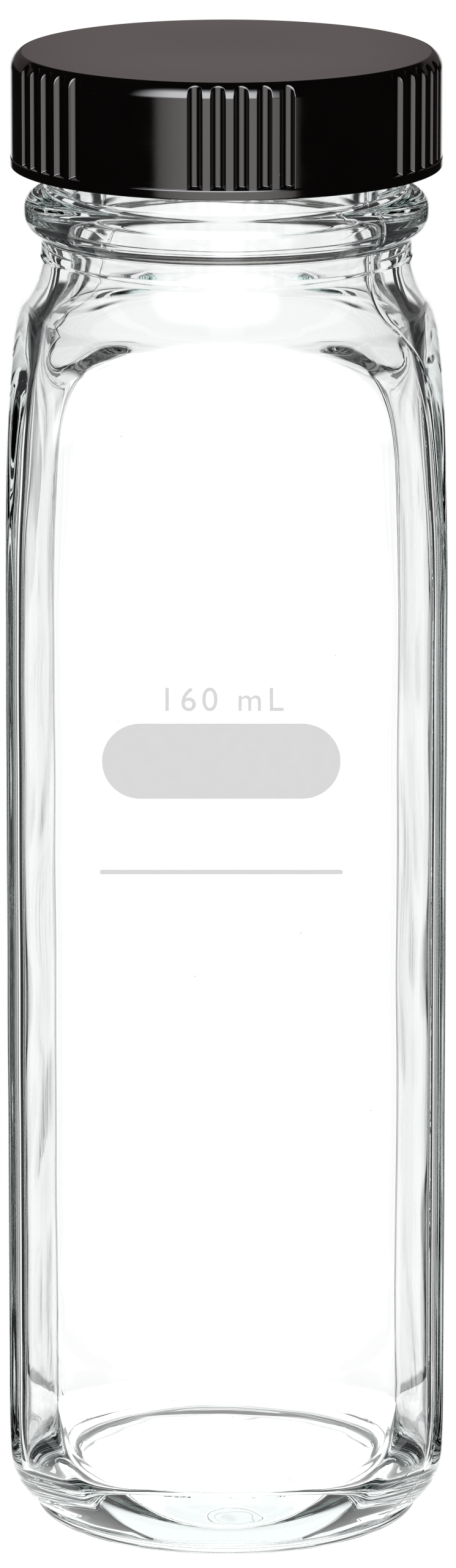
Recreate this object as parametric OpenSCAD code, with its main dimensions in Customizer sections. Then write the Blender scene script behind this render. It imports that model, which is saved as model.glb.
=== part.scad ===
// Square glass specimen jar with a round neck, a bead ring and a fluted screw cap.
// Frame: origin at the centre of the foot, +Z up, the front (marked) face looks along -Y. Millimetres.

/* [Body] */
// Width of the body across its flat sides
body_w = 42.9; // [42.5:0.1:44]
// Radius of the four vertical corners
corner_r = 5.5; // [5:0.5:7]
// Glass thickness of the flat sides
wall = 1.8; // [1.6:0.1:2.2]
// Height of the inner floor at its rim
floor_h = 6; // [5.5:0.1:6.5]
// Diameter of the flat inner floor
floor_d = 32.2; // [31:0.1:35]
// Diameter of the foot that the jar stands on
foot_d = 38.4; // [38:0.1:38.6]
// Depth of the recess under the foot
push_up = 1.2; // [0.6:0.1:1.6]

/* [Shoulder] */
// Height where the flat sides start to lean in
lean_start_h = 102; // [98:1:106]
// How far each flat side has leaned in at the base of the neck
lean_in = 1.25; // [1:0.05:1.5]
// Height of the base of the neck
neck_base_h = 126.7; // [126:0.1:127.5]
// Radius of the hollow curve from neck to shoulder
shoulder_hollow_r = 5; // [4.5:0.1:5.5]

/* [Neck] */
// Height of the glass rim above the foot
rim_h = 144.5; // [144:0.1:147]
// Outside diameter of the neck at the root of the thread
neck_d = 35.2; // [35:0.1:35.4]
// Outside diameter of the neck below the bead
collar_d = 36.4; // [36:0.1:36.8]
// Diameter of the neck's bore
bore_d = 30.8; // [30:0.1:31.2]
// Diameter of the bead ring
bead_d = 39.5; // [39:0.1:40]
// Height of the middle of the bead ring
bead_h = 131.25; // [131:0.05:131.5]

/* [Thread] */
// Rise of the thread in one turn
pitch = 4.2333; // [4.2:0.0001:4.3]
// Height of the thread ridge above the neck
ridge = 1; // [0.8:0.05:1.1]
// Turns of thread on the neck
neck_turns = 1.25; // [1:0.05:1.25]
// Turns of thread in the cap
cap_turns = 1.35; // [1.1:0.05:1.35]
// Axial distance from the neck's thread to the cap's thread below it
thread_offset = 1.5; // [1.45:0.01:1.6]

/* [Cap] */
// Outside diameter of the cap
cap_d = 42; // [42:0.1:42.6]
// Height of the cap
cap_h = 11.2; // [11:0.1:11.4]
// Rounding of the cap's top edge
cap_edge_r = 1.7; // [1.2:0.1:2]
// Thickness of the cap's top
cap_top_t = 1.5; // [1.3:0.1:1.7]
// Thickness of the sealing liner
liner_t = 1; // [0.8:0.1:1]
// Groups of grip flutes round the cap
flute_groups = 6; // [4:1:6]
// Flutes in each group
flutes = 5; // [3:1:6]
// Height of the plain band under the flutes
band_h = 1; // [0.8:0.1:1.5]
// How far the band stands proud of the side
band_proud = 0.07; // [0:0.01:0.15]

/* [Marks] */
// Width of the write-on spot
spot_w = 23; // [20:0.5:26]
// Height of the write-on spot
spot_h = 7.4; // [6:0.1:9]
// Height of the middle of the spot above the foot
spot_z = 81.2; // [75:0.1:90]
// Length of the graduation line
line_w = 23.5; // [20:0.5:26]
// Width of the graduation line
line_h = 0.4; // [0.3:0.05:0.6]
// Height of the graduation line above the foot
line_z = 70.2; // [60:0.1:74]

/* [Hidden] */
$fn = 96;

half_w = body_w / 2;
corner_reach = (half_w - corner_r) * sqrt(2) + corner_r + 0.1;  // from the axis to just outside a corner
above_all = rim_h + 10;              // for solids that others trim

// Shoulder: a hollow arc turns out from the neck by this angle, then a round arc turns back to upright.
shoulder_turn = 60;
collar_r = collar_d / 2;
shoulder_mid_r = collar_r + shoulder_hollow_r * (1 - cos(shoulder_turn));
shoulder_mid_z = neck_base_h - shoulder_hollow_r * sin(shoulder_turn);
shoulder_round_r = (corner_reach - shoulder_mid_r) / (1 - cos(shoulder_turn));
shoulder_z = shoulder_mid_z - shoulder_round_r * sin(shoulder_turn);

// The lean of the flat sides is one large arc that starts upright.
lean_h = neck_base_h - lean_start_h;
lean_r = (pow(lean_h, 2) + pow(lean_in, 2)) / (2 * lean_in);
lean_turn = asin(lean_h / lean_r);

// Foot and heel
plate_h = 1.1;                       // height of the foot plate, which stands proud of the heel by a line
plate_edge_r = 0.9;
flat_heel_h = 9;                     // height where the heel curve starts on the flat sides
flat_heel_in = 2.3;                  // how far it comes in down to the foot plate
flat_heel_r = (pow(flat_heel_h - plate_h, 2) + pow(flat_heel_in, 2)) / (2 * flat_heel_in);
flat_heel_turn = asin((flat_heel_h - plate_h) / flat_heel_r);
heel_h = 18;                         // height where the turned heel curve starts at the corners
heel_foot_r = foot_d / 2 - 0.15;     // where it meets the foot plate
heel_out = corner_reach - heel_foot_r;
heel_r = (pow(heel_h - plate_h, 2) + pow(heel_out, 2)) / (2 * heel_out);
heel_turn = asin((heel_h - plate_h) / heel_r);
push_up_r = foot_d / 2 - 2.4;
push_up_round = 4;                   // how far the round at the edge of the recess reaches in

// Cavity: the outer shape drawn in by the wall
in_half_w = half_w - wall;
in_corner_r = corner_r - wall;
in_reach = corner_reach - wall;
in_flat_heel_h = 8;                  // height of the round between inner floor and flat wall
in_flat_heel_in = 1;                 // and how far it comes in
in_heel_low_z = floor_h + 2.5;       // the turned heel keeps the wall's thickness down to here
in_heel_turn = asin((heel_h - in_heel_low_z) / (heel_r - wall));
in_heel_low_r = corner_reach - heel_r + (heel_r - wall) * cos(in_heel_turn);
in_round_turn = 26;                  // the round from there to the floor leaves out this much of a quarter
in_round_x = floor_d / 2 + 1.4;
in_round_h = 3.7;
in_round_w = (in_heel_low_r - in_round_x) / cos(in_round_turn);
in_round_z = floor_h + 0.3 + in_round_h;
in_heel_r = 1.2;                     // tight round at the rim of the floor
bore_r = bore_d / 2;
in_neck_base_h = neck_base_h - 1.2;
in_hollow_r = shoulder_hollow_r + 1.8;
in_shoulder_turn = 56;
in_mid_r = bore_r + in_hollow_r * (1 - cos(in_shoulder_turn));
in_mid_z = in_neck_base_h - in_hollow_r * sin(in_shoulder_turn);
in_round_r = (in_reach - in_mid_r) / (1 - cos(in_shoulder_turn));
in_shoulder_z = in_mid_z - in_round_r * sin(in_shoulder_turn);
floor_crown = 0.5;                   // the inner floor is this much higher at its centre

// Bead and rim
bead_t = 4.2;                        // height of the bead ring
bead_round_r = 1.85;
rim_round_r = 1;

// Thread
neck_r = neck_d / 2;
ridge_root_w = 2.3;                  // axial width of a thread ridge at its foot
ridge_crest_w = 0.9;                 // and at its crest
ridge_sink = 0.3;                    // how far a ridge's foot is sunk into its wall
thread_low_z = rim_h - 7.2;          // middle of the ridge at the low end of the neck's thread
cap_thread_start = 0.34;             // turns from there to the low end of the cap's thread
ring_steps = 48;                     // thread sections in one turn
run_out = 0.08;                      // turns over which a ridge rises from its wall at each end
cap_bore_r = neck_r + ridge + 0.5;   // wall of the cap at the root of its thread
cap_ridge = cap_bore_r - neck_r - 0.35;

// Cap
cap_edge_cut = 0.18;                 // the flat top cuts this much off the edge rounding and leaves a crease
edge_turn = asin((cap_edge_r - cap_edge_cut) / cap_edge_r);
cap_base_z = rim_h + liner_t + cap_top_t - cap_h;
cap_r = cap_d / 2;
flute_r = 0.75;                      // radius of the cutter that makes one grip flute
flute_axis_r = cap_r + 0.19;
flute_depth = flute_r + cap_r - flute_axis_r;
flute_foot_h = 0.25;                 // rise of the slope at a flute's lower end
flute_step = 6.1;                    // angle between flutes in a group
first_group = 3.9;                   // angle of the front group's middle flute from the front, towards +X
cap_mouth_chamfer = 0.4;
liner_r = cap_bore_r - 0.25;

// Enamel marks
enamel_t = 0.1;
marks_x = -0.5;

function arc(cx, cz, rx, rz, from, to, steps) =
    [for (i = [0:steps]) let (a = from + (to - from) * i / steps) [cx + rx * cos(a), cz + rz * sin(a)]];

// Square with rounded corners, centred on the axis
module rounded_square(half, r) {
    square([2 * half, 2 * (half - r)], center = true);
    square([2 * (half - r), 2 * half], center = true);
    for (x = [-1, 1], y = [-1, 1]) translate([x * (half - r), y * (half - r)]) circle(r);
}

// Side outline of two opposite flats: the heel's points, upright side, and the lean under the shoulder
module flat_outline(half, heel) {
    right = concat(
        heel,
        arc(half - lean_r, lean_start_h, lean_r, lean_r, 0, lean_turn, 8),
        [[half - lean_in, above_all]]);
    left = [for (i = [len(right) - 1:-1:0]) [-right[i][0], right[i][1]]];
    polygon(concat(right, left));
}

// Slab between two opposite flats, turned about the axis
module slab(turn, half, heel) {
    rotate([90, 0, turn]) linear_extrude(2 * body_w, center = true) flat_outline(half, heel);
}

// Turned outline that rounds the corners of the body at heel and shoulder
module body_turning() {
    rotate_extrude() polygon(concat(
        [[0, 0], [heel_foot_r, 0]],
        arc(corner_reach - heel_r, heel_h, heel_r, heel_r, -heel_turn, 0, 14),
        arc(corner_reach - shoulder_round_r, shoulder_z, shoulder_round_r, shoulder_round_r,
            0, shoulder_turn, 12),
        arc(collar_r + shoulder_hollow_r, neck_base_h, shoulder_hollow_r, shoulder_hollow_r,
            180 + shoulder_turn, 180, 6),
        [[0, neck_base_h]]));
}

module outer_body() {
    heel = concat([[half_w - flat_heel_in, 0]],
        arc(half_w - flat_heel_r, flat_heel_h, flat_heel_r, flat_heel_r, -flat_heel_turn, 0, 10));
    intersection() {
        linear_extrude(above_all) rounded_square(half_w, corner_r);
        slab(0, half_w, heel);
        slab(90, half_w, heel);
        body_turning();
    }
}

module foot_plate() {
    rotate_extrude() {
        square([foot_d / 2 - plate_edge_r, plate_h]);
        translate([0, plate_edge_r]) square([foot_d / 2, plate_h - plate_edge_r]);
        translate([foot_d / 2 - plate_edge_r, plate_edge_r]) circle(plate_edge_r);
    }
}

// Neck, bead ring and finish, solid
module outer_neck() {
    rotate_extrude() {
        translate([0, neck_base_h - 0.5]) square([collar_r, bead_h - neck_base_h + 0.5]);
        translate([0, bead_h]) square([neck_r, rim_h - rim_round_r - bead_h]);
        translate([0, rim_h - 2 * rim_round_r]) square([neck_r - rim_round_r, 2 * rim_round_r]);
        translate([neck_r - rim_round_r, rim_h - rim_round_r]) circle(rim_round_r);
        for (z = [-1, 1]) translate([bead_d / 2 - bead_round_r, bead_h + z * (bead_t / 2 - bead_round_r)])
            circle(bead_round_r);
        translate([0, bead_h - bead_t / 2]) square([bead_d / 2 - bead_round_r, bead_t]);
        translate([0, bead_h - bead_t / 2 + bead_round_r]) square([bead_d / 2, bead_t - 2 * bead_round_r]);
    }
}

// Thread ridge: a helix whose section is a trapezium. side is 1 for a ridge that stands out
// from a wall of radius r, -1 for one that stands in from it. It starts at angle 0, height z.
module thread_ridge(r, height, side, turns, z) {
    steps = round(turns * ring_steps);
    function rise(t) = min(1, t / run_out, (turns - t) / run_out);
    function section(t) = let (
        k = max(0.02, rise(t)),
        foot = r - side * ridge_sink,
        crest = r + side * height * k) [
        [foot, -ridge_root_w / 2], [foot, ridge_root_w / 2],
        [crest, ridge_crest_w / 2 * k], [crest, -ridge_crest_w / 2 * k]];
    points = [for (i = [0:steps]) let (t = i * turns / steps, a = 360 * t)
        for (p = section(t)) [p[0] * cos(a), p[0] * sin(a), z + pitch * t + p[1]]];
    n = 4 * steps;
    outward = concat(
        [for (i = [0:steps - 1], j = [0:3]) let (a = 4 * i + j, b = 4 * i + (j + 1) % 4)
            each [[a, b + 4, b], [a, a + 4, b + 4]]],
        [[0, 1, 2], [0, 2, 3], [n + 2, n + 1, n], [n + 3, n + 2, n]]);
    inward = [for (f = outward) [f[2], f[1], f[0]]];
    polyhedron(points, side > 0 ? outward : inward);
}

// Inside of the jar, as a solid
module cavity() {
    heel = arc(in_half_w - in_flat_heel_in, in_flat_heel_h, in_flat_heel_in,
        in_flat_heel_h - floor_h + in_flat_heel_in, -90, 0, 8);
    intersection() {
        linear_extrude(above_all) rounded_square(in_half_w, in_corner_r);
        slab(0, in_half_w, heel);
        slab(90, in_half_w, heel);
        rotate_extrude() polygon(concat(
            [[0, floor_h + floor_crown]],
            arc(floor_d / 2, floor_h + in_heel_r, in_heel_r, in_heel_r, -90, -50, 3),
            arc(in_round_x, in_round_z, in_round_w, in_round_h, -82, -in_round_turn, 8),
            arc(corner_reach - heel_r, heel_h, heel_r - wall, heel_r - wall, -in_heel_turn, 0, 10),
            arc(in_reach - in_round_r, in_shoulder_z, in_round_r, in_round_r, 0, in_shoulder_turn, 12),
            arc(bore_r + in_hollow_r, in_neck_base_h, in_hollow_r, in_hollow_r,
                180 + in_shoulder_turn, 180, 6),
            [[0, in_neck_base_h]]));
    }
    translate([0, 0, in_neck_base_h - 1]) cylinder(r = bore_r, h = above_all - in_neck_base_h);
}

// Shallow flat recess under the foot
module push_up_hollow() {
    rotate_extrude() polygon(concat(
        [[0, -1], [push_up_r, -1]],
        arc(push_up_r - push_up_round, 0, push_up_round, push_up, 0, 90, 10),
        [[0, push_up]]));
}

module glass_bottle() {
    color([0.86, 0.9, 0.9, 0.45]) difference() {
        union() {
            outer_body();
            foot_plate();
            outer_neck();
            thread_ridge(neck_r, ridge, 1, neck_turns, thread_low_z);
        }
        cavity();
        push_up_hollow();
    }
}

module cap_shell() {
    edge_z = cap_h - cap_edge_r + cap_edge_cut;
    rotate_extrude() {
        square([cap_r, edge_z]);
        square([cap_r + band_proud, band_h]);
        polygon(concat([[0, 0]], arc(cap_r - cap_edge_r, edge_z, cap_edge_r, cap_edge_r, 0, edge_turn, 10),
            [[0, cap_h]]));
    }
}

// One grip flute
module flute() {
    translate([flute_axis_r, 0, band_h]) cylinder(r = flute_r, h = cap_h, $fn = 24);
}

// Slope that ends every flute above the band
module flute_foot() {
    rotate_extrude() polygon([[cap_bore_r + 0.5, band_h - 0.3], [cap_r, band_h - 0.3],
        [cap_r, band_h], [cap_r - flute_depth, band_h + flute_foot_h], [cap_bore_r + 0.5, band_h + flute_foot_h]]);
}

module screw_cap() {
    color([0.06, 0.055, 0.055]) translate([0, 0, cap_base_z]) {
        difference() {
            cap_shell();
            translate([0, 0, -1]) cylinder(r = cap_bore_r, h = cap_h - cap_top_t + 1);
            translate([0, 0, -0.01]) cylinder(r1 = cap_bore_r + cap_mouth_chamfer, r2 = cap_bore_r,
                h = cap_mouth_chamfer);
            for (g = [0:flute_groups - 1], i = [0:flutes - 1])
                rotate([0, 0, -90 + first_group + 360 / flute_groups * g + flute_step * (i - (flutes - 1) / 2)])
                    flute();
        }
        flute_foot();
        thread_ridge_in_cap();
    }
}

// The cap's thread lies on the neck's helix, lowered by the offset
module thread_ridge_in_cap() {
    rotate([0, 0, 360 * cap_thread_start])
        thread_ridge(cap_bore_r, cap_ridge, -1, cap_turns,
            thread_low_z - thread_offset + pitch * cap_thread_start - cap_base_z);
}

module cap_liner() {
    color([0.93, 0.92, 0.9]) translate([0, 0, rim_h]) cylinder(r = liner_r, h = liner_t);
}

// Flat mark with round ends on the front face
module front_mark(w, h, z) {
    color([0.84, 0.84, 0.85]) translate([marks_x, -half_w, z]) rotate([90, 0, 0]) linear_extrude(enamel_t) {
        square([w - h, h], center = true);
        for (x = [-1, 1]) translate([x * (w - h) / 2, 0]) circle(h / 2);
    }
}

module marking_spot() { front_mark(spot_w, spot_h, spot_z); }

module graduation_line() { front_mark(line_w, line_h, line_z); }

glass_bottle();
screw_cap();
cap_liner();
marking_spot();
graduation_line();
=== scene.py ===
import bpy
import math
import numpy as np
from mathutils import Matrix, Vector, noise


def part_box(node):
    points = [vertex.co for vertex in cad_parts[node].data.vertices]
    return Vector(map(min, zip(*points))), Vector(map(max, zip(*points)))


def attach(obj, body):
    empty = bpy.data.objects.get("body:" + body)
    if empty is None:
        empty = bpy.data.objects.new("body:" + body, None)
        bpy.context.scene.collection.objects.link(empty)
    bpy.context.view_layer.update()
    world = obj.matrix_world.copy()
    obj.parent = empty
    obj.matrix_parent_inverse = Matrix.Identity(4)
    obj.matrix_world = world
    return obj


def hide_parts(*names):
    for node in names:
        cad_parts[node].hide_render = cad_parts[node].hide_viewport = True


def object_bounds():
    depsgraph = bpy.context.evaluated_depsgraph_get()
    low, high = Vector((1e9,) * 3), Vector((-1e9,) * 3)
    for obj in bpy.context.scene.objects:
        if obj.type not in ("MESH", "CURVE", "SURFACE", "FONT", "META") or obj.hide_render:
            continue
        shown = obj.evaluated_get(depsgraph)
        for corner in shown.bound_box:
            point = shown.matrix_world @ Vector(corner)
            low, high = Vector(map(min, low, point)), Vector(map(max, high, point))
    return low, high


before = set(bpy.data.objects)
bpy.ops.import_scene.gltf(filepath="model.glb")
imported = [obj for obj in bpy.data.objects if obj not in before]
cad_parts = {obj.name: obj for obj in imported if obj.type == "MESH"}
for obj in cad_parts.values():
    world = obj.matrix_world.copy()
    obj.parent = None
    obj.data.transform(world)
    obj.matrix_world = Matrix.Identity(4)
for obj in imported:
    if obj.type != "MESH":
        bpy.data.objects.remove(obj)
cad_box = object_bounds()

MM = 0.001
TAU = 2 * math.pi


# ---------------------------------------------------------------- sizes, in millimetres, from the frame

def box_mm(node):
    """Lowest and highest corner of a CAD node at rest, in millimetres."""
    low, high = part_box(node)
    return [c / MM for c in low], [c / MM for c in high]


bottle_high = box_mm("glass_bottle")[1]
cap_low, cap_high = box_mm("screw_cap")
liner_high = box_mm("cap_liner")[1]

RIM = bottle_high[2]                    # height of the glass rim
HALF = bottle_high[0]                   # half the width across the flats
CORNER = 5.5                            # radius of the vertical corners
CORNER_REACH = (HALF - CORNER) * math.sqrt(2) + CORNER + 0.1
WALL = 1.8
FOOT_R = 19.2                           # the foot plate's edge
PLATE_H = 1.1                           # height of the foot plate
PUSH_UP_R = 16.8                        # the recess under the foot
PUSH_UP = 1.2
PUSH_UP_EDGE = 4.0                      # width of its rounded edge
HEEL_H = 18.0                           # height where the turned heel curve starts at the corners
FLAT_HEEL_H = 9.0                       # height where the heel starts on the flat sides
FLAT_HEEL_IN = 2.3                      # how far it comes in at the foot
BLEND = 1.6                             # how softly the flat sides run into the turned corners
SHOULDER_BLEND = 3.2                    # and into the shoulder
FLOOR_R = 16.1                          # flat part of the inner floor
FLOOR_Z = 6.0
FLOOR_RIM_R = 1.2                       # rounding at the floor's rim
FLOOR_RISE = 0.5                        # the floor's middle above its rim
IN_HEEL_Z = 7.6                         # the wall keeps its thickness down to here
HEEL_END_OUT = 1.5                      # where the inner heel ends, out from the floor
HEEL_END_RISE = 0.34                    # and up from it
NECK_BASE = RIM - 17.8                  # where the shoulder meets the neck
LEAN_START = 102.0                      # height where the flat sides start to lean in
LEAN_IN = 1.25                          # how far they have come in at the neck's base
LEAN_H = NECK_BASE - LEAN_START
LEAN_R = (LEAN_H ** 2 + LEAN_IN ** 2) / (2 * LEAN_IN)
COLLAR_R = 18.2                         # neck below the bead
BEAD_Z = RIM - 13.25
BEAD_R = 19.75
BEAD_T = 4.2
NECK_R = 17.6                           # neck at the root of the thread
BORE_R = 15.4
RIDGE = 1.0                             # height of the thread ridge
PITCH = 4.2333
THREAD_Z = RIM - 7.2                    # low end of the neck's thread
THREAD_TURNS = 1.25
SEAM = math.radians(-40)                # mould seam, measured from +X

CAP_R = 21.0
CAP_BASE = cap_low[2]
CAP_TOP = cap_high[2]
CAP_EDGE = 1.7                          # rounding of the top edge
CAP_EDGE_CUT = 0.18                     # what the flat top cuts off it, which leaves a crease
CAP_BORE_R = NECK_R + RIDGE + 0.5
CAP_RIDGE = CAP_BORE_R - NECK_R - 0.35
CAP_ROOF = liner_high[2]                # underside of the cap's top
BAND = 1.0
FLUTE_R = 0.75
FLUTE_AXIS = CAP_R + 0.19
FLUTE_DEPTH = FLUTE_R + CAP_R - FLUTE_AXIS
FLUTE_FOOT = 0.25                       # rise of the slope at a flute's lower end
FLUTE_STEP = math.radians(6.1)
FLUTE_GROUPS = 6
FLUTES = 5
FIRST_GROUP = math.radians(-90 + 3.9)
CAP_THREAD_START = 0.34
CAP_THREAD_TURNS = 1.35
THREAD_OFFSET = 1.5

PRINT_SIZE = 3.3                        # size of the printed volume's letters
PRINT_X = -0.5                          # middle of the print
PRINT_SPACING = 1.25                    # between letters, where 1 is the font's own
PRINT_GAP = 1.3                         # from the marking spot up to the letters
PRINT_BACK = 0.02                       # how far the print lies behind the spot's face
PRINT_HALF_T = 0.01


# ---------------------------------------------------------------- mesh helpers

def smooth_min(a, b, k):
    """The smaller of a and b, with the change from one to the other rounded over about k."""
    h = np.maximum(k - np.abs(a - b), 0) / k
    return np.minimum(a, b) - h * h * k / 4


def arc(cx, cz, rx, rz, start, stop, steps):
    """Points on an arc of an ellipse, angles in degrees."""
    return [(cx + rx * math.cos(a), cz + rz * math.sin(a))
            for a in np.radians(np.linspace(start, stop, steps + 1))]


def line(p, q, steps):
    """Evenly spaced points from p to q, both included."""
    return [(p[0] + (q[0] - p[0]) * t, p[1] + (q[1] - p[1]) * t) for t in np.linspace(0, 1, steps + 1)]


def loft(name, rings):
    """A closed smooth mesh through a list of rings of points, closed at the first and last ring's centre."""
    count = len(rings[0])
    points = np.concatenate(rings)
    first = rings[0].mean(axis=0)
    last = rings[-1].mean(axis=0)
    verts = np.vstack([points, first, last]) * MM
    around = np.arange(count)
    after = np.roll(around, -1)
    faces = []
    for i in range(len(rings) - 1):
        a = i * count
        b = a + count
        quads = np.stack([a + around, a + after, b + after, b + around], axis=1)
        faces.extend(quads.tolist())
    start = len(points)
    top = (len(rings) - 1) * count
    faces.extend([[start, j, i] for i, j in zip(around.tolist(), after.tolist())])
    faces.extend([[start + 1, top + i, top + j] for i, j in zip(around.tolist(), after.tolist())])
    mesh = bpy.data.meshes.new(name)
    mesh.from_pydata(verts.tolist(), [], faces)
    mesh.validate()
    mesh.update()
    mesh.shade_smooth()
    piece = bpy.data.objects.new(name, mesh)
    bpy.context.scene.collection.objects.link(piece)
    return piece


def ring(angles, radius, z):
    """Points at a radius, a number or one for each angle, and a height."""
    radius = np.broadcast_to(radius, angles.shape)
    z = np.broadcast_to(z, angles.shape)
    return np.stack([radius * np.cos(angles), radius * np.sin(angles), z], axis=1)


def square_radius(angles, half, corner):
    """Distance from the axis to a square with rounded corners, along each angle."""
    a = np.abs((angles + math.pi / 4) % (math.pi / 2) - math.pi / 4)
    flat = half / np.cos(a)
    m = half - corner
    along = m * (np.cos(a) + np.sin(a))
    off2 = 2 * m * m - along * along
    curved = along + np.sqrt(np.maximum(corner * corner - off2, 0))
    return np.where(np.tan(a) * half <= m, flat, curved)


def helix_height(angles, z, low_z, start, turns, height, root, crest):
    """Height of a thread ridge that winds up from low_z, over a wall at these angles and heights."""
    total = np.zeros(np.broadcast(angles, z).shape)
    base = ((angles - TAU * start) % TAU) / TAU
    for lap in range(3):
        t = base + lap
        inside = (t >= 0) & (t <= turns)
        run = np.clip(np.minimum(t, turns - t) / 0.08, 0, 1)
        offset = np.abs(z - (low_z + PITCH * t))
        flank = np.clip((root / 2 - offset) / (root / 2 - crest / 2), 0, 1)
        flank = flank * flank * (3 - 2 * flank)
        total = np.maximum(total, np.where(inside, flank * run * height, 0))
    return total


def wavy(points, scale, depth, seed):
    """Unevenness for a ring of points, inwards by depth on average, smooth and the same in every run."""
    offset = Vector((seed, seed * 0.7, -seed))
    return np.array([noise.noise(Vector(p) * scale + offset) - 1 for p in points.tolist()]) * depth


# ---------------------------------------------------------------- glass bottle

def seam_bump(angles, radius, height):
    """The fine ridge that the two halves of the mould leave, on opposite sides."""
    near = np.abs((angles - SEAM + math.pi / 2) % math.pi - math.pi / 2)
    return height * np.exp(-(near * radius / 0.16) ** 2)


def bottle_angles():
    """Angles round the bottle: close together on the corners and at the seams."""
    steps = np.linspace(-math.pi / 4, math.pi / 4, 89)[:-1]
    warped = steps - 0.1 * np.sin(4 * steps)
    angles = np.concatenate([warped + math.pi / 2 * k for k in range(4)])
    fine = np.array([-1.2, -0.8, -0.5, -0.25, 0, 0.25, 0.5, 0.8, 1.2])
    seams = np.concatenate([SEAM + math.pi * k + np.radians(fine) for k in range(2)])
    return np.unique(np.round(np.concatenate([angles, seams]) % TAU, 6))


def lean(z):
    """How far a flat side has leaned in at a height."""
    up = np.clip(z - LEAN_START, 0, LEAN_H)
    return LEAN_R - np.sqrt(LEAN_R ** 2 - up ** 2)


def heel_line(low_z, steps):
    """Turned outline of the heel, one arc from low_z up to the corners."""
    foot_r = FOOT_R - 0.15
    out = CORNER_REACH - foot_r
    rise = HEEL_H - PLATE_H
    radius = (rise ** 2 + out ** 2) / (2 * out)
    turn = math.degrees(math.asin((HEEL_H - low_z) / radius))
    return arc(CORNER_REACH - radius, HEEL_H, radius, radius, -turn, 0, steps)


def shoulder_line(neck_r, neck_z, hollow_r, turn, reach, round_steps, hollow_steps):
    """Turned outline of a shoulder from its round part up to the neck."""
    c = math.cos(math.radians(turn))
    s = math.sin(math.radians(turn))
    mid_r = neck_r + hollow_r * (1 - c)
    mid_z = neck_z - hollow_r * s
    round_r = (reach - mid_r) / (1 - c)
    low_z = mid_z - round_r * s
    outline = arc(reach - round_r, low_z, round_r, round_r, 0, turn, round_steps)
    outline += arc(neck_r + hollow_r, neck_z, hollow_r, hollow_r, 180 + turn, 180, hollow_steps)[1:]
    return outline, low_z


def flat_heel_in(z):
    """How far a flat side has come in at the heel: one arc, upright at its top."""
    rise = FLAT_HEEL_H - PLATE_H
    radius = (rise ** 2 + FLAT_HEEL_IN ** 2) / (2 * FLAT_HEEL_IN)
    return radius - math.sqrt(radius ** 2 - max(FLAT_HEEL_H - z, 0) ** 2)


def body_skin(angles):
    """Outside of heel, body and shoulder as rings from the foot plate up to the neck, without waviness."""
    heel = heel_line(PLATE_H, 48)
    shoulder, shoulder_z = shoulder_line(COLLAR_R, NECK_BASE, 5.0, 60, CORNER_REACH, 34, 16)
    side = line((CORNER_REACH, HEEL_H), (CORNER_REACH, shoulder_z), 42)[1:-1]
    outline = heel + side + shoulder
    blends = np.interp([z for r, z in outline], [LEAN_START - 6, LEAN_START + 6], [BLEND, SHOULDER_BLEND])
    rings = []
    for (r, z), blend in zip(outline, blends):
        side = square_radius(angles, HALF - lean(z) - flat_heel_in(z), CORNER)
        rings.append(ring(angles, smooth_min(r, side, blend), z))
    return np.array(rings)


def moved_in(skin, wall):
    """The same rings moved into the glass, square to the surface, by a wall given for each ring."""
    up = np.gradient(skin, axis=0)
    around = np.roll(skin, -1, axis=1) - np.roll(skin, 1, axis=1)
    normal = np.cross(around, up)
    normal /= np.linalg.norm(normal, axis=2, keepdims=True)
    return skin - wall[:, None, None] * normal


def pushed(points, distance):
    """A ring's points moved away from the axis by a distance, a number or one for each point."""
    out = points[:, :2] / np.linalg.norm(points[:, :2], axis=1, keepdims=True)
    distance = np.broadcast_to(distance, len(points))[:, None]
    return np.column_stack([points[:, :2] + out * distance, points[:, 2]])


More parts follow.
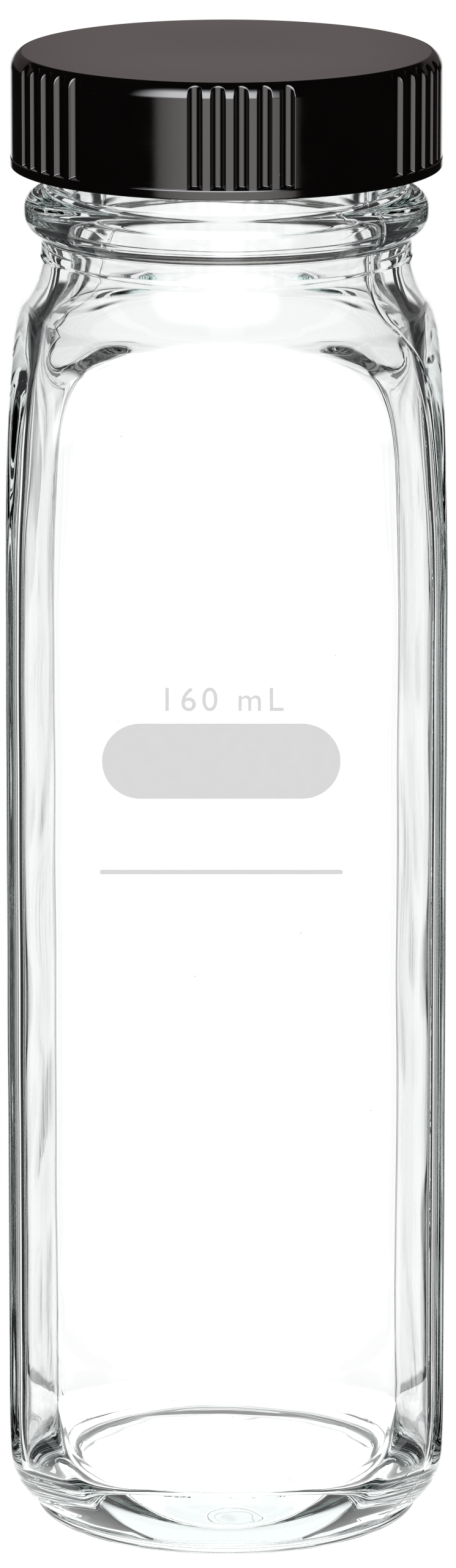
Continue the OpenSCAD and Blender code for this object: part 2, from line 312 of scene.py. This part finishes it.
def bottle_mesh():
    """The bottle as one closed skin: under the foot, up the outside, over the rim, down the inside."""
    angles = bottle_angles()
    skin = body_skin(angles)
    rings = []

    def add(outline, rough=0.0, seam=0.0, seed=1.0, grain=0.09):
        for r, z in outline:
            points = ring(angles, float(r), z)
            if rough:
                points = pushed(points, wavy(points, grain, rough, seed))
            rings.append(pushed(points, seam_bump(angles, r, seam)))

    # Underside: shallow flat recess, foot ring, foot plate
    add([(r, PUSH_UP) for r in np.linspace(0.3, PUSH_UP_R - PUSH_UP_EDGE, 8)[:-1]])
    add(arc(PUSH_UP_R - PUSH_UP_EDGE, 0, PUSH_UP_EDGE, PUSH_UP, 90, 0, 16))
    add([(PUSH_UP_R + 0.3, 0.0), (17.6, 0.0), (18.1, 0.0)])
    add(arc(FOOT_R - 0.8, 0.8, 0.8, 0.8, -75, 0, 6))
    add([(FOOT_R, 0.98), (FOOT_R - 0.03, 1.04), (FOOT_R - 0.12, 1.08)])

    # Heel, body and shoulder, a little uneven, with the mould's seam
    for points in skin:
        rough = 0.03 + 0.05 * np.clip(points[0, 2] / NECK_BASE, 0, 1)
        seam = 0.03 if points[0, 2] < LEAN_START else 0.07
        uneven = wavy(points, 0.09, rough, 3)
        rings.append(pushed(points, uneven + seam_bump(angles, points[0, 0], seam)))

    # Neck with the mould's ring line, and the bead
    add([(COLLAR_R, NECK_BASE + 0.3), (COLLAR_R - 0.03, NECK_BASE + 0.42), (COLLAR_R - 0.1, NECK_BASE + 0.5)]
        + line((COLLAR_R - 0.1, NECK_BASE + 0.7), (COLLAR_R - 0.1, BEAD_Z - BEAD_T / 2 - 0.3), 4), seam=0.07)
    add([(COLLAR_R - 0.02, BEAD_Z - BEAD_T / 2 - 0.1)]
        + arc(BEAD_R - 2.1, BEAD_Z - BEAD_T / 2 + 2.1, 2.1, 2.1, -68, 0, 10)
        + arc(BEAD_R - 1.6, BEAD_Z + BEAD_T / 2 - 1.6, 1.6, 1.6, 0, 80, 9)
        + [(NECK_R + 0.5, BEAD_Z + BEAD_T / 2 + 0.05), (NECK_R + 0.15, BEAD_Z + BEAD_T / 2 + 0.2)], seam=0.07)

    # Finish with its thread, and the rim
    for z in np.linspace(BEAD_Z + BEAD_T / 2 + 0.5, RIM - 1.0, 46):
        ridge = helix_height(angles, z, THREAD_Z, 0, THREAD_TURNS, RIDGE, 2.3, 0.9)
        rings.append(ring(angles, NECK_R + ridge + seam_bump(angles, NECK_R, 0.05), z))
    add(arc(NECK_R - 1.0, RIM - 1.0, 1.0, 1.0, 12, 90, 7))
    add(arc(BORE_R + 0.8, RIM - 0.8, 0.8, 0.8, 90, 180, 6))

    # Bore, then the inside of shoulder, body and heel, which runs parallel to the outside
    add(line((BORE_R, RIM - 1.2), (BORE_R, NECK_BASE + 0.6), 14), rough=0.06, seed=9, grain=0.16)
    height = skin[:, 0, 2]
    wall = np.interp(height, [LEAN_START, NECK_BASE], [WALL, COLLAR_R - BORE_R])
    inside = moved_in(skin, wall)[height > IN_HEEL_Z][::-1]
    for points in inside:
        rings.append(pushed(points, wavy(points, 0.09, 0.08, 11)))

    # Inner heel: from the wall round to the rim of the floor, then the floor itself
    start = inside[-1]
    way = inside[-1] - inside[-2]
    corner = start + way * ((FLOOR_Z + HEEL_END_RISE - start[:, 2:]) / way[:, 2:])
    stop = ring(angles, FLOOR_R + HEEL_END_OUT, FLOOR_Z + HEEL_END_RISE)
    for t in np.linspace(0, 1, 20)[1:]:
        points = (1 - t) ** 2 * start + 2 * t * (1 - t) * corner + t ** 2 * stop
        rings.append(pushed(points, wavy(points, 0.09, 0.08 * (1 - t), 11)))
    add(arc(FLOOR_R, FLOOR_Z + FLOOR_RIM_R, FLOOR_RIM_R, FLOOR_RIM_R, -50, -90, 6), rough=0.05, seed=13)
    for r in np.linspace(FLOOR_R - 0.5, 0.3, 30):
        z = FLOOR_Z + FLOOR_RISE * (1 - (r / FLOOR_R) ** 2)
        flat = ring(angles, r, z)
        flat[:, 2] += wavy(flat, 0.13, 0.2, 17) + wavy(flat, 0.4, 0.03, 19)
        rings.append(flat)
    return loft("bottle_glass", rings)


# ---------------------------------------------------------------- screw cap

def cap_angles():
    """Angles round the cap: each flute has its own close set."""
    edge = math.asin(math.sqrt(FLUTE_R ** 2 - 0.19 ** 2) / CAP_R)
    flute = edge * np.array([-1.25, -1.1, -1.03, -0.99, -0.95, -0.85, -0.7, -0.5, -0.3, -0.1,
                             0.1, 0.3, 0.5, 0.7, 0.85, 0.95, 0.99, 1.03, 1.1, 1.25])
    middle = [FIRST_GROUP + TAU / FLUTE_GROUPS * g + FLUTE_STEP * (i - (FLUTES - 1) / 2)
              for g in range(FLUTE_GROUPS) for i in range(FLUTES)]
    angles = np.concatenate([m + flute for m in middle])
    plain = np.linspace(2.6 * FLUTE_STEP, TAU / FLUTE_GROUPS - 2.6 * FLUTE_STEP, 16)
    between = np.concatenate([FIRST_GROUP + TAU / FLUTE_GROUPS * g + plain for g in range(FLUTE_GROUPS)])
    return np.unique(np.round(np.concatenate([angles, between]) % TAU, 6))


def flute_radius(angles, z):
    """Distance from the axis to the floor of the nearest flute, large where there is none."""
    group = TAU / FLUTE_GROUPS
    a = (angles - FIRST_GROUP + group / 2) % group - group / 2
    nearest = np.clip(np.round(a / FLUTE_STEP), -(FLUTES // 2), FLUTES // 2)
    off = a - nearest * FLUTE_STEP
    side2 = FLUTE_R ** 2 - (FLUTE_AXIS * np.sin(off)) ** 2
    floor = np.where(side2 > 0, FLUTE_AXIS * np.cos(off) - np.sqrt(np.maximum(side2, 0)), CAP_R + 1.0)
    foot = CAP_R - FLUTE_DEPTH * (z - CAP_BASE - BAND) / FLUTE_FOOT
    return np.maximum(floor, foot)


def cap_mesh():
    """The cap as one closed skin: top, rounded edge, fluted side, band, mouth, threaded inside."""
    angles = cap_angles()
    rings = []

    def add(outline):
        for r, z in outline:
            radius = np.full(angles.shape, float(r))
            if r > CAP_R - 1.2 and z > CAP_BASE + BAND:
                radius = smooth_min(radius, flute_radius(angles, z), 0.1)
            rings.append(ring(angles, radius, z))

    edge_turn = math.degrees(math.asin(1 - CAP_EDGE_CUT / CAP_EDGE))
    edge = arc(CAP_R - CAP_EDGE, CAP_TOP - CAP_EDGE + CAP_EDGE_CUT, CAP_EDGE, CAP_EDGE, edge_turn - 1, 0, 20)
    crease_r = CAP_R - CAP_EDGE * (1 - math.cos(math.radians(edge_turn)))
    add([(r, CAP_TOP - 0.12 * math.cos(r / 17 * math.pi / 2) ** 2 if r < 17 else CAP_TOP)
         for r in np.linspace(0.3, crease_r - 0.6, 22)])
    add(line((crease_r - 0.3, CAP_TOP), (crease_r - 0.03, CAP_TOP), 2))
    add(edge)
    foot_z = CAP_BASE + BAND + FLUTE_FOOT
    add(line((CAP_R, edge[-1][1] - 0.2), (CAP_R, foot_z + 0.2), 8))
    add(line((CAP_R, foot_z + 0.08), (CAP_R, CAP_BASE + BAND + 0.03), 7))
    add([(CAP_R, CAP_BASE + BAND + 0.005), (CAP_R + 0.05, CAP_BASE + BAND - 0.02),
         (CAP_R + 0.07, CAP_BASE + BAND - 0.07)])
    add(line((CAP_R + 0.07, CAP_BASE + BAND - 0.2), (CAP_R + 0.07, CAP_BASE + 0.25), 3))
    add(arc(CAP_R - 0.13, CAP_BASE + 0.2, 0.2, 0.2, -10, -90, 4))
    add([(CAP_R - 0.6, CAP_BASE), (CAP_BORE_R + 0.55, CAP_BASE), (CAP_BORE_R + 0.4, CAP_BASE + 0.05),
         (CAP_BORE_R + 0.05, CAP_BASE + 0.38)])
    low_z = THREAD_Z - THREAD_OFFSET
    for z in np.linspace(CAP_BASE + 0.5, CAP_ROOF - 0.1, 44):
        ridge = helix_height(angles, z, low_z + PITCH * CAP_THREAD_START, CAP_THREAD_START,
                             CAP_THREAD_TURNS, CAP_RIDGE, 2.3, 0.9)
        rings.append(ring(angles, CAP_BORE_R - ridge, z))
    rings.append(ring(angles, CAP_BORE_R, CAP_ROOF))
    rings.append(ring(angles, CAP_BORE_R - 1.0, CAP_ROOF))
    rings.append(ring(angles, 0.3, CAP_ROOF))
    return loft("cap_body", rings)


# ---------------------------------------------------------------- materials

def new_material(name):
    """A material with its node tree, its Principled shader and a helper that adds and joins nodes."""
    mat = bpy.data.materials.new(name)
    mat.use_nodes = True
    tree = mat.node_tree
    shader = tree.nodes["Principled BSDF"]

    def add(kind, **inputs):
        """A new node with its inputs set, or joined to another node's output."""
        node = tree.nodes.new(kind)
        for key, value in inputs.items():
            socket = node.inputs[key.replace("_", " ")]
            if isinstance(value, bpy.types.NodeSocket):
                tree.links.new(value, socket)
            else:
                socket.default_value = value
        return node

    return mat, tree, shader, add


def node_maker(tree):
    """Short calls for a node tree: each value may be a number or another node's output."""
    def math_node(operation, *values):
        node = tree.nodes.new("ShaderNodeMath")
        node.operation = operation
        for socket, value in zip(node.inputs, values):
            if isinstance(value, bpy.types.NodeSocket):
                tree.links.new(value, socket)
            else:
                socket.default_value = value
        return node.outputs[0]

    def step(value, low, high):
        """0 up to low, 1 from high on, smooth between; low may be the greater."""
        node = tree.nodes.new("ShaderNodeMapRange")
        node.interpolation_type = "SMOOTHSTEP"
        tree.links.new(value, node.inputs["Value"])
        node.inputs["From Min"].default_value = low
        node.inputs["From Max"].default_value = high
        return node.outputs[0]

    def mix(factor, a, b):
        """Colour a where the factor is 0, colour b where it is 1."""
        node = tree.nodes.new("ShaderNodeMix")
        node.data_type = "RGBA"
        sockets = [i for i in node.inputs if i.enabled]
        for socket, value in zip(sockets, (factor, a, b)):
            if isinstance(value, bpy.types.NodeSocket):
                tree.links.new(value, socket)
            else:
                socket.default_value = (*value, 1) if isinstance(value, tuple) else value
        return [o for o in node.outputs if o.enabled][0]

    return math_node, step, mix


def place(add):
    """Where a point lies on the piece, in metres."""
    return add("ShaderNodeTexCoord").outputs["Object"]


def clouds(add, at, size, detail=3.0):
    """Soft noise, about 0.3 to 0.7, with patches of this size."""
    return add("ShaderNodeTexNoise", Vector=at, Scale=1 / size, Detail=detail).outputs[0]


def spread(add, value, low, high, out_low, out_high):
    """The range low to high of a value drawn out to another range, and held at its ends."""
    return add("ShaderNodeMapRange", Value=value, From_Min=low, From_Max=high, To_Min=out_low,
               To_Max=out_high).outputs[0]


def blend_colors(tree, factor, a, b):
    """Colour a where the factor is 0, colour b where it is 1."""
    return node_maker(tree)[2](factor, a, b)


def specks(add, at, spacing, size, share):
    """1 on fine specks of dust, at most one in each cell, in about this share of the cells."""
    cells = add("ShaderNodeTexVoronoi", Vector=at, Scale=1 / spacing)
    near = spread(add, cells.outputs["Distance"], size / spacing, 0.6 * size / spacing, 0, 1)
    lot = add("ShaderNodeSeparateColor", Color=cells.outputs["Color"]).outputs[0]
    return spread(add, near, 0, spread(add, lot, share, share - 0.01, 1000, 1), 0, 1)


def scratches(add, at, length, width):
    """Fine marks drawn out round the piece, 0 to 1."""
    drawn = add("ShaderNodeMapping", Vector=at, Scale=(1 / length, 1 / length, 1 / width))
    marks = add("ShaderNodeTexNoise", Vector=drawn.outputs[0], Scale=1.0, Detail=2.0).outputs[0]
    return spread(add, marks, 0.66, 0.74, 0, 1)


def set_bump(tree, shader, add, height, strength, depth):
    """Fine relief for a shader, from a height value."""
    bump = add("ShaderNodeBump", Height=height, Strength=strength, Distance=depth)
    tree.links.new(bump.outputs[0], shader.inputs["Normal"])


def glass_material():
    """Clear glass: a few smudges and specks of dust, a faint grain, and a blue-green tint in its depth."""
    mat, tree, shader, add = new_material("clear_glass")
    at = place(add)
    dust = specks(add, at, 3.5 * MM, 0.1 * MM, 0.12)
    smudges = spread(add, clouds(add, at, 11 * MM), 0.62, 0.78, 0, 0.02)
    color = blend_colors(tree, dust, (0.997, 0.999, 1.0), (0.35, 0.34, 0.33))
    tree.links.new(color, shader.inputs["Base Color"])
    tree.links.new(spread(add, dust, 0, 1, smudges, 0.5), shader.inputs["Roughness"])
    set_bump(tree, shader, add, clouds(add, at, 1.4 * MM, 1.0), 0.012, 0.05 * MM)
    shader.inputs["IOR"].default_value = 1.474
    shader.inputs["Transmission Weight"].default_value = 1.0
    depth = add("ShaderNodeVolumeAbsorption", Color=(0.86, 0.97, 0.95, 1), Density=12.0)
    tree.links.new(depth.outputs[0], tree.nodes["Material Output"].inputs["Volume"])
    return mat


def cap_material():
    """Moulded black plastic: glossy, a little cloudy, with hairline marks and specks of dust."""
    mat, tree, shader, add = new_material("black_phenolic")
    at = place(add)
    cloud = clouds(add, at, 4 * MM)
    dust = specks(add, at, 1.6 * MM, 0.055 * MM, 0.25)
    marks = scratches(add, at, 9 * MM, 0.12 * MM)
    color = blend_colors(tree, cloud, (0.001, 0.0008, 0.0007), (0.002, 0.0017, 0.0016))
    color = blend_colors(tree, dust, color, (0.16, 0.155, 0.15))
    tree.links.new(color, shader.inputs["Base Color"])
    polish = spread(add, cloud, 0.35, 0.65, 0.07, 0.1)
    tree.links.new(spread(add, marks, 0, 1, polish, 0.14), shader.inputs["Roughness"])
    set_bump(tree, shader, add, clouds(add, at, 0.6 * MM), 0.05, 0.03 * MM)
    shader.inputs["IOR"].default_value = 1.6
    return mat


def enamel_material(name):
    """Fired grey enamel: matt, slightly uneven in tone, with a fine grain and pinholes."""
    mat, tree, shader, add = new_material(name)
    at = place(add)
    tone = clouds(add, at, 2.2 * MM, 4.0)
    pinholes = specks(add, at, 0.9 * MM, 0.05 * MM, 0.2)
    color = blend_colors(tree, tone, (0.575, 0.575, 0.58), (0.65, 0.65, 0.645))
    color = blend_colors(tree, pinholes, color, (0.8, 0.8, 0.8))
    tree.links.new(color, shader.inputs["Base Color"])
    tree.links.new(spread(add, tone, 0.35, 0.65, 0.42, 0.6), shader.inputs["Roughness"])
    set_bump(tree, shader, add, clouds(add, at, 0.25 * MM), 0.3, 0.02 * MM)
    return mat


def rubber_material():
    """White rubber liner: matt, off-white, lightly soiled."""
    mat, tree, shader, add = new_material("white_rubber")
    at = place(add)
    tone = clouds(add, at, 3 * MM, 4.0)
    color = blend_colors(tree, tone, (0.84, 0.83, 0.8), (0.74, 0.72, 0.67))
    tree.links.new(color, shader.inputs["Base Color"])
    tree.links.new(spread(add, tone, 0.35, 0.65, 0.5, 0.75), shader.inputs["Roughness"])
    set_bump(tree, shader, add, clouds(add, at, 0.35 * MM), 0.25, 0.03 * MM)
    return mat


# ---------------------------------------------------------------- printed volume

def volume_print():
    """A generic volume mark in grey enamel above the marking spot, flat on the front face."""
    low, high = box_mm("marking_spot")
    curve = bpy.data.curves.new("volume_mark", "FONT")
    curve.body = "160 mL"
    curve.size = PRINT_SIZE * MM
    curve.space_character = PRINT_SPACING
    curve.align_x = "CENTER"
    curve.extrude = PRINT_HALF_T * MM
    mark = bpy.data.objects.new("volume_mark", curve)
    bpy.context.scene.collection.objects.link(mark)
    mark.rotation_euler = (math.pi / 2, 0, 0)
    mark.location = (PRINT_X * MM, (low[1] + PRINT_BACK) * MM, (high[2] + PRINT_GAP) * MM)
    curve.materials.append(enamel_material("grey_enamel_print"))
    return mark


# ---------------------------------------------------------------- build

bottle = bottle_mesh()
bottle.data.materials.append(glass_material())
bottle.visible_shadow = False
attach(bottle, "bottle")
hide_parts("glass_bottle")

cap = cap_mesh()
cap.data.materials.append(cap_material())
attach(cap, "cap")
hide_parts("screw_cap")

mark = volume_print()
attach(mark, "bottle")

for node, mat in (("marking_spot", enamel_material("grey_enamel_spot")),
                  ("graduation_line", enamel_material("grey_enamel_line")),
                  ("cap_liner", rubber_material())):
    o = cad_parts[node]
    o.data.materials.clear()
    o.data.materials.append(mat)


# ---------------------------------------------------------------- stage

# Sides are in degrees from straight ahead, and count to the left and right of it and behind the jar too.
# Heights are the z of a direction of length 1.
NARROW_FLAGS = ((12.5, 15.5), (21.0, 28.0), (31.0, 40.0))
SIDE_FLAG = (53, 82)
UPPER_FLAG = (10, 80)
UPPER_START = (0.0, 0.08)               # heights between which it comes in
LOWER_FLAG = (10, 39)
LOWER_START = (-0.36, -0.44)
FLAG_REACH = 0.92                       # height, up and down, where all flags end
WIDE_EDGE = 0.02                        # how soft the flags' edges are
NARROW_EDGE = 0.003
START_EDGE = 0.006
FLAG_COLOR = (0.03, 0.03, 0.032)
WHITE = (1.0, 1.0, 1.0)
LAMP_TURN = 9                           # from straight in front to the soft light, leftwards
LAMP_COLOR = (10.0, 10.0, 10.3)
TABLE_COLOR = (2.4, 2.3, 2.25)
DARK_ROOM = (0.008, 0.006, 0.005)
WALL_DARK = (0.12, 0.1, 0.1)
WALL_LIGHT = (0.26, 0.225, 0.225)
TABLE_R = 0.028                         # the white floor, in metres
FLOOR_GREY = 0.35
FLOOR_GLOW = 0.95

LENS = 208.7                            # millimetres, on a sensor 36 mm wide
CAMERA_X = 0.00015                      # metres
CAMERA_BACK = 0.8744
CAMERA_OVER_CAP = 0.1349
CAMERA_DOWN = 0.2336                    # radians below level


def camera():
    """Long lens, a little above the cap, looking down at the middle of the jar."""
    cap_top = cad_box[1][2]
    data = bpy.data.cameras.new("camera")
    data.sensor_width = 36.0
    data.lens = LENS
    data.clip_start = 0.01
    cam = bpy.data.objects.new("camera", data)
    cam.location = (CAMERA_X, -CAMERA_BACK, cap_top + CAMERA_OVER_CAP)
    cam.rotation_euler = (math.pi / 2 - CAMERA_DOWN, 0, 0)
    bpy.context.scene.collection.objects.link(cam)
    bpy.context.scene.camera = cam


def studio_world():
    """White all round, with dark flags that only refracted rays meet, and a dim room with a front window
    that only reflected rays meet."""
    world = bpy.data.worlds.new("world")
    bpy.context.scene.world = world
    world.use_nodes = True
    tree = world.node_tree
    math_node, step, mix = node_maker(tree)
    way = tree.nodes.new("ShaderNodeSeparateXYZ")
    tree.links.new(tree.nodes.new("ShaderNodeTexCoord").outputs["Generated"], way.inputs[0])
    x, y, z = way.outputs
    path = tree.nodes.new("ShaderNodeLightPath")

    level = math_node("SQRT", math_node("ADD", math_node("MULTIPLY", x, x), math_node("MULTIPLY", y, y)))
    level = math_node("MAXIMUM", level, 0.001)
    ahead = math_node("DIVIDE", math_node("MULTIPLY", y, -1.0), level)
    aside = math_node("ABSOLUTE", ahead)

    def cos(degrees):
        return math.cos(math.radians(degrees))

    def times(a, b):
        return math_node("MULTIPLY", a, b)

    def between(value, low, high, soft):
        return times(step(value, low - soft, low + soft), step(value, high + soft, high - soft))

    def flag(sides, soft):
        return between(aside, cos(sides[1]), cos(sides[0]), soft)

    # Through the glass: white in front, behind and for the other straight views, black flags between them,
    # which come further in above and below
    flags = flag(SIDE_FLAG, WIDE_EDGE)
    for sides in NARROW_FLAGS:
        flags = math_node("ADD", flags, flag(sides, NARROW_EDGE))
    upper = times(flag(UPPER_FLAG, START_EDGE), step(z, *UPPER_START))
    lower = times(flag(LOWER_FLAG, START_EDGE), step(z, *LOWER_START))
    flags = math_node("MAXIMUM", flags, math_node("MAXIMUM", upper, lower))
    flags = times(flags, between(z, -FLAG_REACH, FLAG_REACH, 0.05))
    through = mix(flags, WHITE, FLAG_COLOR)

    # In reflections: a grey table in front, a large soft light above it, a dim wall behind, and a dark room
    table = times(step(ahead, cos(41), cos(35)), step(z, -0.03, -0.12))
    lamp = math_node("SUBTRACT", times(ahead, cos(LAMP_TURN)),
                     times(math_node("DIVIDE", x, level), cos(90 - LAMP_TURN)))
    glow = times(step(lamp, cos(44), cos(14)), times(step(z, -0.12, 0.1), step(z, 0.9, 0.5)))
    wall = times(step(ahead, -cos(55), -cos(40)), between(z, 0.0, 0.36, 0.03))
    white = times(step(ahead, -cos(18), -cos(10)), step(z, 0.03, -0.03))
    room = mix(times(table, step(ahead, cos(50), cos(5))), DARK_ROOM, TABLE_COLOR)
    room = mix(glow, room, LAMP_COLOR)
    wall_color = mix(step(ahead, -cos(2.2), -cos(0.3)), WALL_DARK, WALL_LIGHT)
    room = mix(wall, room, wall_color)
    room = mix(white, room, WHITE)

    light = mix(path.outputs["Is Glossy Ray"], WHITE, room)
    light = mix(path.outputs["Is Transmission Ray"], light, through)
    light = mix(path.outputs["Is Camera Ray"], light, WHITE)
    tree.links.new(light, tree.nodes["Background"].inputs["Color"])


def stage():
    """A small white floor under the jar, and the studio round it."""
    floor_mesh = bpy.data.meshes.new("floor")
    rim = [(TABLE_R * math.cos(a), TABLE_R * math.sin(a), 0) for a in np.linspace(0, TAU, 97)[:-1]]
    floor_mesh.from_pydata(rim, [], [list(range(len(rim)))])
    floor = bpy.data.objects.new("floor", floor_mesh)
    bpy.context.scene.collection.objects.link(floor)
    floor.location.z = -0.0001
    mat, tree, shader, add = new_material("floor")
    shader.inputs["Base Color"].default_value = (FLOOR_GREY, FLOOR_GREY, FLOOR_GREY, 1)
    shader.inputs["Roughness"].default_value = 1.0
    shader.inputs["Specular IOR Level"].default_value = 0.0
    shader.inputs["Emission Color"].default_value = (1, 1, 1, 1)
    shader.inputs["Emission Strength"].default_value = FLOOR_GLOW
    floor_mesh.materials.append(mat)
    studio_world()


camera()
stage()
bpy.context.scene.view_settings.view_transform = "Standard"

# Light runs a long way inside the thick glass before it leaves
bpy.context.scene.cycles.max_bounces = 32
bpy.context.scene.cycles.glossy_bounces = 24
bpy.context.scene.cycles.transmission_bounces = 32
